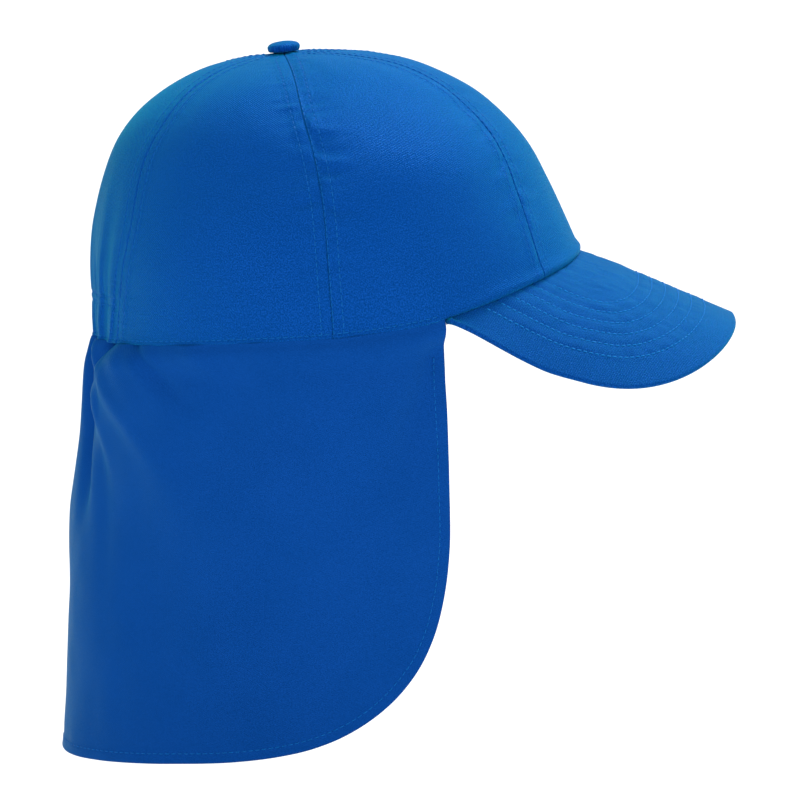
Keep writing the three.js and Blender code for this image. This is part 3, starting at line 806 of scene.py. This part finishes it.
# The top of the peak: share across from the right corner to the left, and in from its outer edge
def peak_top(share, inward):
    share, inward = np.broadcast_arrays(np.asarray(share, float), np.asarray(inward, float))
    rim = crown_lining((2 * share - 1) * PEAK_SPREAD, 0.0, CLOTH)
    rim = rim - np.array([0, 0, RIM_GAP])
    back = along_of(crown_base(PEAK_SPREAD, 0.0))
    turn = np.radians((2 * share - 1) * CORNER_TURN)
    ahead, aside = np.abs(np.cos(turn)), np.abs(np.sin(turn))
    reach = (ahead**PEAK_POWER + aside**PEAK_POWER) ** (-1 / PEAK_POWER)
    bulge = 1 + PEAK_BULGE * np.sin(2 * np.abs(turn))
    edge_along = back + (PEAK_LENGTH - back) * reach * ahead
    edge_across = CORNER_ACROSS * reach * bulge * np.sin(turn)
    rim_along = along_of(rim)
    point = peak_lift(lerp(edge_along, rim_along, inward), lerp(edge_across, rim[..., 1], inward))
    miss = rim - peak_lift(rim_along, rim[..., 1])
    return point + miss * inward[..., None]


# The peak laid flat: how far a point lies along it, and across its arch
def peak_flat(points):
    across = np.linspace(0, ARCH_REACH * CORNER_ACROSS, ARCH_POINTS)
    length = row_lengths(np.stack([across, arch(across)], -1))
    y = points[..., 1]
    return np.stack([along_of(points), np.sign(y) * np.interp(np.abs(y), across, length)], -1)


# The shortest distance from each of some flat points to a line of points
def distance_to(points, line):
    flat = points.reshape(-1, 2)
    nearest = np.full(len(flat), np.inf)
    for start, end in zip(line[:-1], line[1:]):
        run = end - start
        share = np.clip(((flat - start) @ run) / (run @ run), 0, 1)
        nearest = np.minimum(nearest, np.hypot(*(flat - start - share[:, None] * run).T))
    return nearest.reshape(points.shape[:-1])


def peak_edge_distance(share, inward):
    line = peak_flat(peak_top(np.linspace(0, 1, EDGE_POINTS), 0.0))
    return distance_to(peak_flat(peak_top(share, inward)), line)


def peak_relief(distance, flat):
    along, across = flat[..., 0], flat[..., 1]
    quilted = smooth(distance, PEAK_ROWS[0] - QUILT_START, PEAK_ROWS[0])
    rough = uneven("quilt", along, across) + uneven("quilt_rows", across, distance)
    grooves = sum(bump(distance, row, width) for row in PEAK_ROWS for width in QUILT_WIDTHS)
    return (QUILT_PUFF + rough) * quilted - QUILT_GROOVE * grooves + uneven("peak", along, across)


# The outer face of the peak's top cloth, its normal and the distance from the outer edge
def peak_face(share, inward):
    top = peak_top(share, inward)
    normal = normal_of(peak_top, np.clip(share, STEP, 1 - STEP), inward)
    distance = peak_edge_distance(share, inward)
    flat = peak_flat(top)
    return top, normal, distance, flat


def peak_inwards(share):
    lengths = np.linalg.norm(peak_top(share, 0.0) - peak_top(share, 1.0), axis=-1)[None, :]
    near = np.array(PEAK_EDGE_ROWS)[:, None] / lengths
    rest = lerp(near[-1:], 1.0, np.linspace(0, 1, PEAK_ROW_COUNT + 1)[1:, None])
    return np.concatenate([near, rest])


# The rows of stitches on the peak, where a grid of distances from its edge crosses theirs
def peak_runs(outer, normal, distance):
    runs = []
    for row in PEAK_ROWS:
        columns = np.flatnonzero(distance.max(axis=0) > row)
        first = np.argmax(distance[:, columns] > row, axis=0)
        inside = first < len(distance) - 2
        columns, first = columns[inside], first[inside]
        low, high = distance[first - 1, columns], distance[first, columns]
        part = ((row - low) / (high - low))[:, None]
        points = lerp(outer[first - 1, columns], outer[first, columns], part)
        runs.append((points, normal[first, columns]))
    return runs


def peak(cloth):
    share = np.linspace(0, 1, PEAK_COLUMN_COUNT + 1)
    inward = peak_inwards(share)
    share = np.broadcast_to(share, inward.shape)
    top, normal, distance, flat = peak_face(share, inward)
    inset = edge_inset(distance, PEAK_THICKNESS)
    relief = peak_relief(distance, flat)
    outer = tilted(top + normal * (relief - inset)[..., None])
    under = PEAK_THICKNESS + UNDER_RELIEF * relief - inset
    inner = tilted(top - normal * under[..., None])
    made = slab("peak_cloth", outer, inner, flat[..., ::-1], cloth)
    return made, peak_runs(outer, tilted(normal), distance)


FRONT_LAP = 0.7  # how far the flap's front edges reach ahead of those of the solids
TOP_LAP = 0.3  # how far its upper edge reaches above theirs, where it is sewn to the rim
FOLD_HOLD = 0.3  # how far a fold may stand out along that edge


def fold_swell(rows, across, fall):
    total = 0
    for row in rows:
        fold = dict(zip(FOLD_COLUMNS, row))
        down = np.clip((fall - fold["start"]) / (fold["end"] - fold["start"]), 0, 1)
        middle = lerp(fold["head"], fold["foot"], down)
        fade = smooth(down, 0, FOLD_START) * (1 - smooth(down, FOLD_END, 1))
        total = total + FOLD_DEPTH * fold["depth"] * fade * bump(across, middle, fold["width"] * (1 + down))
    return total


FLAP_START = PEAK_SPREAD + degrees_for(FLAP_GAP - FRONT_LAP, PEAK_SPREAD, 0.0)
FLAP_HALF = 186.0  # rough length along the rim from the middle of the back to a front edge
HEM_ROW = 4.3  # from the hem's edge to its row of stitches
HEM_RAISE = 0.3
HEM_FALL = 1.4  # how far beyond the row of stitches the hem's double cloth is lost
HEM_GROOVE_WIDTH = 0.6
HEM_PULL = 5.0  # how far the pull of the stitches reaches
HEM_POINTS = 241
HEM_RUN_POINTS = 1600
HEM_RUN_TOP = 2.0  # from the rim down to the first stitch
SPRING_START = 4.0  # fall over which the flap springs out below the rim
SPRING_SIDES = (26, 50)  # distances from the middle of the back between which that begins
BROAD_START = 14.0  # fall at which the broad unevenness has its whole depth
FINE_START = 8.0
HEM_ROWS = (0.03, 0.12, 0.3, 0.55, 0.9, 1.4, 2.0, 2.7, 3.3, 3.8, 4.3, 4.8, 5.4, 6.2, 7.2)
FLAP_TOP_ROWS = (0.03, 0.12, 0.3, 0.55, 0.9, 1.5, 2.2, 3.0, 4.0)
FLAP_COLUMN_COUNT = 262
FLAP_ROW_COUNT = 118
FLAP_CLOTH = 1.0
FLAP_TOP_ROUND = 0.5  # twice the radius of its edge along the rim


def flap_angle(across):
    return HALF_TURN + across * (HALF_TURN - FLAP_START)


# The flap's outer face: across from -1 to 1, and fall from 0 at the rim to 1 at its foot
def flap_drape(across, fall):
    across, fall = np.broadcast_arrays(np.asarray(across, float), np.asarray(fall, float))
    angle = flap_angle(across)
    ripple = rim_ripple(angle) * (1 - smooth(fall, 0, GATHER_FALL))
    hang = tilted(crown_lining(angle, 0.0, -ripple))
    forward, aside = np.cos(np.radians(angle)), np.sin(np.radians(angle))
    flare = np.where(forward < 0, FLAP_FLARE, FLARE_FRONT * FLAP_FLARE) * forward
    fold = fold_swell(FLAP_FOLDS, across, fall) + fold_swell(FLAP_CREASES, across, fall)
    fold = np.minimum(fold, FOLD_HOLD + fall * FLAP_LENGTH)
    x = hang[..., 0] + np.maximum(fall, 0) ** FLARE_BEND * flare + fold * forward
    y = hang[..., 1] - fall * FLAP_CLOSE * aside + fold * aside
    z = hang[..., 2] - fall * FLAP_LENGTH - RIM_GAP + TOP_LAP * (1 - fall)
    return np.stack([x, y, z], -1)


def hem_point(share):
    side, along = np.sign(share), np.abs(share)
    straight = 1 - CORNER_SHARE
    turn = np.clip((along - HEM_STRAIGHT) / (1 - HEM_STRAIGHT), 0, 1) * np.pi / 2
    rise, run = np.abs(np.cos(turn)), np.sin(turn)
    reach = (rise**CORNER_POWER + run**CORNER_POWER) ** (-1 / CORNER_POWER)
    corner = CORNER_HEIGHT / FLAP_LENGTH
    level = along <= HEM_STRAIGHT
    across = np.where(level, straight * along / HEM_STRAIGHT, straight + CORNER_SHARE * reach * run)
    return side * across, np.where(level, 1.0, 1 - corner + corner * reach * rise)


def flap_flat(across, fall):
    return np.stack(np.broadcast_arrays(across * FLAP_HALF, -fall * FLAP_LENGTH), -1)


# The flap's edge laid flat, from the left end of the rim round the hem to the right end
def hem_line():
    across, fall = hem_point(np.linspace(-1, 1, HEM_POINTS))
    across = np.concatenate([[-1.0], across, [1.0]])
    return flap_flat(across, np.concatenate([[0.0], fall, [0.0]]))


# The hem's double cloth, by distance from its edge
def hem_raise(edge):
    return HEM_RAISE * (1 - smooth(edge, HEM_ROW, HEM_ROW + HEM_FALL))


def flap_relief(flat, edge):
    along, down = flat[..., 0], -flat[..., 1]
    spring = ridge("flap_spring", down) * smooth(down, 0, SPRING_START)
    spring = spring * smooth(np.abs(along), *SPRING_SIDES)
    groove = -GROOVE_DEPTH * bump(edge, HEM_ROW, HEM_GROOVE_WIDTH)
    pull = uneven("hem", along, -down) * bump(edge, HEM_ROW, HEM_PULL)
    broad = uneven("flap", along, -down) * smooth(down, 0, BROAD_START)
    fine = uneven("fine_flap", along, -down) * smooth(down, 0, FINE_START)
    return spring + hem_raise(edge) + groove + pull + broad + fine


def flap_places():
    ends = np.array(HEM_ROWS) / FLAP_HALF
    middle = np.linspace(ends[-1] - 1, 1 - ends[-1], FLAP_COLUMN_COUNT)[1:-1]
    share = np.concatenate([ends - 1, middle, 1 - ends[::-1]])
    hem_across, hem_fall = hem_point(share)
    lengths = np.linalg.norm(flap_flat(hem_across, hem_fall) - flap_flat(share, 0.0), axis=-1)
    high = np.array(FLAP_TOP_ROWS)[:, None] / lengths
    low = 1 - np.array(HEM_ROWS)[::-1, None] / lengths
    middle = lerp(high[-1:], low[:1], np.linspace(0, 1, FLAP_ROW_COUNT)[1:-1, None])
    down = np.concatenate([high, middle, low])[::-1]
    return lerp(share, hem_across, down), lerp(0, hem_fall, down)


def flap_face(across, fall):
    surface = lambda u, v: flap_drape(u, 1 - v)
    normal = normal_of(surface, across, 1 - fall)
    flat = flap_flat(across, fall)
    edge = distance_to(flat, hem_line())
    relief = flap_relief(flat, edge)
    return flap_drape(across, fall), normal, flat, edge, relief


def neck_flap(cloth):
    drape, normal, flat, edge, relief = flap_face(*flap_places())
    inset = np.maximum(edge_inset(edge, FLAP_CLOTH), edge_inset(-flat[..., 1], FLAP_TOP_ROUND))
    outer = drape + normal * (relief - inset)[..., None]
    inner = drape + normal * (relief - FLAP_CLOTH - hem_raise(edge) + inset)[..., None]
    return slab("neck_flap_cloth", outer, inner, flat, cloth)


def hem_run():
    line = hem_line()
    tangent = unit(np.gradient(line, axis=0))
    inward = np.stack([-tangent[:, 1], tangent[:, 0]], -1)
    inside = line + inward * HEM_ROW
    dense = np.linspace(0, len(line) - 1, HEM_RUN_POINTS)
    inside = np.stack([np.interp(dense, np.arange(len(line)), inside[:, k]) for k in (0, 1)], -1)
    inside = inside[-inside[:, 1] > HEM_RUN_TOP]
    across, fall = inside[:, 0] / FLAP_HALF, -inside[:, 1] / FLAP_LENGTH
    drape, normal, _, _, relief = flap_face(across, fall)
    return drape + normal * relief[:, None], normal


# Materials

WAVE_UNIT = 2 * math.pi / 20  # wavelength of a wave texture of scale 1
TWILL_PITCH = 0.7
TWILL_TURN = -52.0  # degrees of the twill's lines from upright
TWILL_WAVER = 2.2
YARN_PITCH = 0.42
YARN_WAVER = 0.5
YARN_DEPTH = 0.28
PLY_PITCH = 0.35
CLOTH_ROUGHNESS = (0.36, 0.5)
DARK_SHARE = 0.74  # of the cloth's colour, where it is darkest
LIGHT_SHARE = 1.2
LIGHT_LIFT = 0.004  # what is added to each channel there
# Irregularities of the cloth: their size, the detail in them, and how far they shift its tone
# from dark to light
SLUBS = {"size": 2.2, "detail": 4.0, "tone": (-0.16, 0.16)}
PATCHES = {"size": 26.0, "detail": 2.0, "tone": (-0.12, 0.2)}
SPECKLE = {"size": 0.55, "detail": 1.0}
TWILL_TONE = (0.29, 0.45)
# Shares of the twill, the slubs and the speckle in the height of the cloth's face
TWILL_HEIGHT = 0.55
SLUB_HEIGHT = 0.35
SPECKLE_HEIGHT = 1.5
# What is the same all over the cloth
DRILL_SHADER = {
    "Specular IOR Level": 0.02,
    "Metallic": 0.14,
    "Specular Tint": (0.05, 0.85, 1.0, 1.0),
    "Sheen Roughness": 0.5,
    "Sheen Tint": (0.02, 1.0, 0.8, 1.0),
}


def linear(red, green, blue):
    return tuple((c / 255) ** 2.2 for c in (red, green, blue)) + (1.0,)


class Nodes:
    """The node tree of one material, with short calls to add and join nodes"""

    def __init__(self, name):
        self.material = bpy.data.materials.new(name)
        self.material.use_nodes = True
        self.tree = self.material.node_tree
        self.shader = self.tree.nodes["Principled BSDF"]

    def add(self, kind, settings=None, **inputs):
        node = self.tree.nodes.new(kind)
        for key, value in (settings or {}).items():
            setattr(node, key, value)
        for key, value in inputs.items():
            self.put(node, key.replace("_", " "), value)
        return node

    def put(self, node, socket, value):
        target = node.inputs[int(socket) if socket.isdigit() else socket]
        if isinstance(value, bpy.types.NodeSocket):
            self.tree.links.new(value, target)
        else:
            target.default_value = value

    def math(self, operation, first, second):
        node = self.add("ShaderNodeMath", {"operation": operation})
        self.put(node, "0", first)
        self.put(node, "1", second)
        return node.outputs[0]

    def mix(self, factor, first, second):
        node = self.add("ShaderNodeMix", {"data_type": "RGBA"})
        self.put(node, "0", factor)
        self.put(node, "6", first)
        self.put(node, "7", second)
        return node.outputs[2]

    def span(self, value, low, high):
        node = self.add("ShaderNodeMapRange", Value=value)
        self.put(node, "To Min", low)
        self.put(node, "To Max", high)
        return node.outputs[0]


# Fine diagonal lines crossed by yarns, from 0 in the furrows to 1 on the ridges
def twill_height(nodes, place):
    turn = nodes.add("ShaderNodeMapping", Vector=place)
    turn.inputs["Rotation"].default_value = (0, 0, math.radians(TWILL_TURN))
    lines = nodes.add(
        "ShaderNodeTexWave",
        {"wave_type": "BANDS", "bands_direction": "X"},
        Vector=turn.outputs[0],
        Scale=WAVE_UNIT / TWILL_PITCH,
        Distortion=TWILL_WAVER,
        Detail=2.0,
    )
    lines.inputs["Detail Scale"].default_value = 3.0
    yarns = nodes.add(
        "ShaderNodeTexWave",
        {"wave_type": "BANDS", "bands_direction": "Y"},
        Vector=place,
        Scale=WAVE_UNIT / YARN_PITCH,
        Distortion=YARN_WAVER,
    )
    crossed = nodes.span(yarns.outputs["Fac"], 1 - YARN_DEPTH, 1.0)
    return nodes.math("MULTIPLY", lines.outputs["Fac"], crossed)


def noise(nodes, place, size, detail, **_):
    made = nodes.add("ShaderNodeTexNoise", Vector=place, Scale=1 / size, Detail=detail)
    return made.outputs["Fac"]


def shaded(colour, share, lift=0.0):
    return tuple(c * share + lift for c in colour[:3]) + (1.0,)


# Cotton drill: relief is the depth of its face in millimetres, and the argument after it how speckled its
# tone is: partly the yarn's uneven tone, partly a painted glint
def drill_material(name, colour, relief=0.24, grain_and_glint=1.8, sheen=0.28):
    nodes = Nodes(name)
    place = nodes.add("ShaderNodeTexCoord").outputs["UV"]
    twill = twill_height(nodes, place)
    slubs = noise(nodes, place, **SLUBS)
    speckle = noise(nodes, place, **SPECKLE)
    patches = noise(nodes, place, **PATCHES)
    tone = nodes.math("ADD", nodes.span(twill, *TWILL_TONE), nodes.span(slubs, *SLUBS["tone"]))
    tone = nodes.math("ADD", tone, nodes.span(patches, *PATCHES["tone"]))
    # Speckled tone: partly the yarn's own uneven tone and partly a painted glint of light on the twill,
    # which is why the crown and peak have more of it than the flap
    tone = nodes.math("ADD", tone, nodes.span(speckle, -grain_and_glint, grain_and_glint))
    light = shaded(colour, LIGHT_SHARE, LIGHT_LIFT)
    shade = nodes.mix(tone, shaded(colour, DARK_SHARE), light)
    nodes.put(nodes.shader, "Base Color", shade)
    nodes.put(nodes.shader, "Roughness", nodes.span(slubs, *CLOTH_ROUGHNESS))
    height = nodes.math("MULTIPLY", twill, TWILL_HEIGHT)
    height = nodes.math("ADD", height, nodes.math("MULTIPLY", slubs, SLUB_HEIGHT))
    height = nodes.math("ADD", height, nodes.math("MULTIPLY", speckle, SPECKLE_HEIGHT))
    raised = nodes.add("ShaderNodeBump", Height=height, Strength=1.0, Distance=relief * MM)
    nodes.put(nodes.shader, "Normal", raised.outputs[0])
    nodes.put(nodes.shader, "Sheen Weight", sheen)
    for socket, value in DRILL_SHADER.items():
        nodes.put(nodes.shader, socket, value)
    return nodes.material


def thread_material(name, colour):
    nodes = Nodes(name)
    place = nodes.add("ShaderNodeTexCoord").outputs["UV"]
    plies = nodes.add(
        "ShaderNodeTexWave",
        {"wave_type": "BANDS", "bands_direction": "DIAGONAL"},
        Vector=place,
        Scale=WAVE_UNIT / PLY_PITCH,
    )
    shade = nodes.mix(plies.outputs["Fac"], shaded(colour, DARK_SHARE), colour)
    nodes.put(nodes.shader, "Base Color", shade)
    raised = nodes.add("ShaderNodeBump", Height=plies.outputs["Fac"], Distance=0.04 * MM)
    nodes.put(nodes.shader, "Normal", raised.outputs[0])
    nodes.put(nodes.shader, "Roughness", 0.45)
    nodes.put(nodes.shader, "Specular IOR Level", 0.08)
    return nodes.material


def floor_material():
    nodes = Nodes("floor")
    place = nodes.add("ShaderNodeTexCoord").outputs["Object"]
    speckle = noise(nodes, place, 0.6, 2.0)
    shade = nodes.mix(speckle, (FLOOR_PALE,) * 3 + (1.0,), (1.03 * FLOOR_PALE,) * 3 + (1.0,))
    nodes.put(nodes.shader, "Base Color", shade)
    nodes.put(nodes.shader, "Roughness", 0.9)
    return nodes.material


# Stage

def make_camera():
    place, aim = Vector(CAMERA_PLACE), Vector(CAMERA_AIM)
    camera = bpy.data.cameras.new("camera")
    camera.sensor_width = SENSOR_WIDTH
    camera.lens = SENSOR_WIDTH * (aim - place).length / VIEW_WIDTH
    camera.clip_start, camera.clip_end = 0.05, 50
    made = bpy.data.objects.new("camera", camera)
    made.location = place * MM
    made.rotation_euler = (aim - place).to_track_quat("-Z", "Y").to_euler()
    bpy.context.scene.collection.objects.link(made)
    bpy.context.scene.camera = made


def make_floor(height):
    half = FLOOR_SIZE / 2
    corners = np.array([(-half, -half), (half, -half), (half, half), (-half, half)])
    vertices = np.hstack([corners, np.full((4, 1), height)])
    floor = new_object("floor", vertices, [[0, 1, 2, 3]], corners, floor_material())


# Soft lights: the way each comes from, how many degrees wide it is and how strong
LIGHTS = (
    {"name": "key", "way": (0.36, 0.44, 0.86), "spread": 24, "strength": 3.2},
    {"name": "side", "way": (-0.25, -1.0, 0.1), "spread": 50, "strength": 0.46},
)
# The studio's own soft light: its strength on the whole, and how much stronger it is towards a side
WORLD_STRENGTH = 0.44
WORLD_LEAN = (0.12, -0.12, 0.4)
FLOOR_PALE = 0.8


def make_lights():
    for row in LIGHTS:
        light = bpy.data.lights.new(row["name"], "SUN")
        light.angle = math.radians(row["spread"])
        light.energy = row["strength"]
        made = bpy.data.objects.new(row["name"], light)
        made.rotation_euler = (-Vector(row["way"])).to_track_quat("-Z", "Y").to_euler()
        bpy.context.scene.collection.objects.link(made)
    bpy.context.scene.world = studio_world()
    bpy.context.scene.view_settings.view_transform = "Standard"


def studio_world():
    world = bpy.data.worlds.new("studio")
    world.use_nodes = True
    tree = world.node_tree
    way = tree.nodes.new("ShaderNodeTexCoord")
    lean = tree.nodes.new("ShaderNodeVectorMath")
    lean.operation = "DOT_PRODUCT"
    lean.inputs[1].default_value = WORLD_LEAN
    total = tree.nodes.new("ShaderNodeMath")
    total.inputs[1].default_value = WORLD_STRENGTH
    tree.links.new(way.outputs["Generated"], lean.inputs[0])
    tree.links.new(lean.outputs["Value"], total.inputs[0])
    tree.links.new(total.outputs[0], tree.nodes["Background"].inputs["Strength"])
    tree.nodes["Background"].inputs["Color"].default_value = (1, 1, 1, 1)
    return world


def dress(piece, slot, *nodes):
    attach(piece, "root")
    if nodes:
        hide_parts(*nodes)
    return piece


def build():
    drill = drill_material("crown_drill", linear(12, 77, 168))
    # The peak's and the flap's drill are the crown's cloth made a little darker: painted shade, since the
    # whole cap is one cloth.
    peak_drill = drill_material("peak_drill", linear(12, 72, 158))
    flap_drill = drill_material("flap_drill", linear(15, 74, 158), relief=0.11, grain_and_glint=0.5, sheen=0.12)
    band_cotton = drill_material("band_cotton", linear(26, 78, 150))
    # The thread is the cloth's blue made lighter, and the peak's lighter still: a painted highlight that
    # makes the stitches show as bright dots.
    thread = thread_material("thread", linear(17, 112, 202))
    peak_thread = thread_material("peak_thread", linear(24, 134, 220))

    crown_runs = []
    for number, panel in enumerate(PANELS):
        piece, runs = crown_panel(panel, number, drill)
        dress(piece, "crown_cloth", panel["name"])
        crown_runs += runs
    dress(stitch_mesh("crown_stitches", crown_runs, thread), "crown_cloth")
    dress(button(drill), "button_cloth", "crown_button")
    dress(sweatband(band_cotton), "sweatband_cloth", "sweatband")

    piece, runs = peak(peak_drill)
    dress(piece, "peak_cloth", "peak")
    dress(stitch_mesh("peak_stitches", runs, peak_thread, PEAK_PITCH, PEAK_THREAD), "peak_cloth")

    flap = dress(neck_flap(flap_drill), "flap_cloth", "neck_flap")
    hem = dress(stitch_mesh("flap_stitches", [hem_run()], thread), "flap_cloth")


make_camera()
make_floor(cad_box[0].z / MM - FLOOR_DROP)
make_lights()
build()
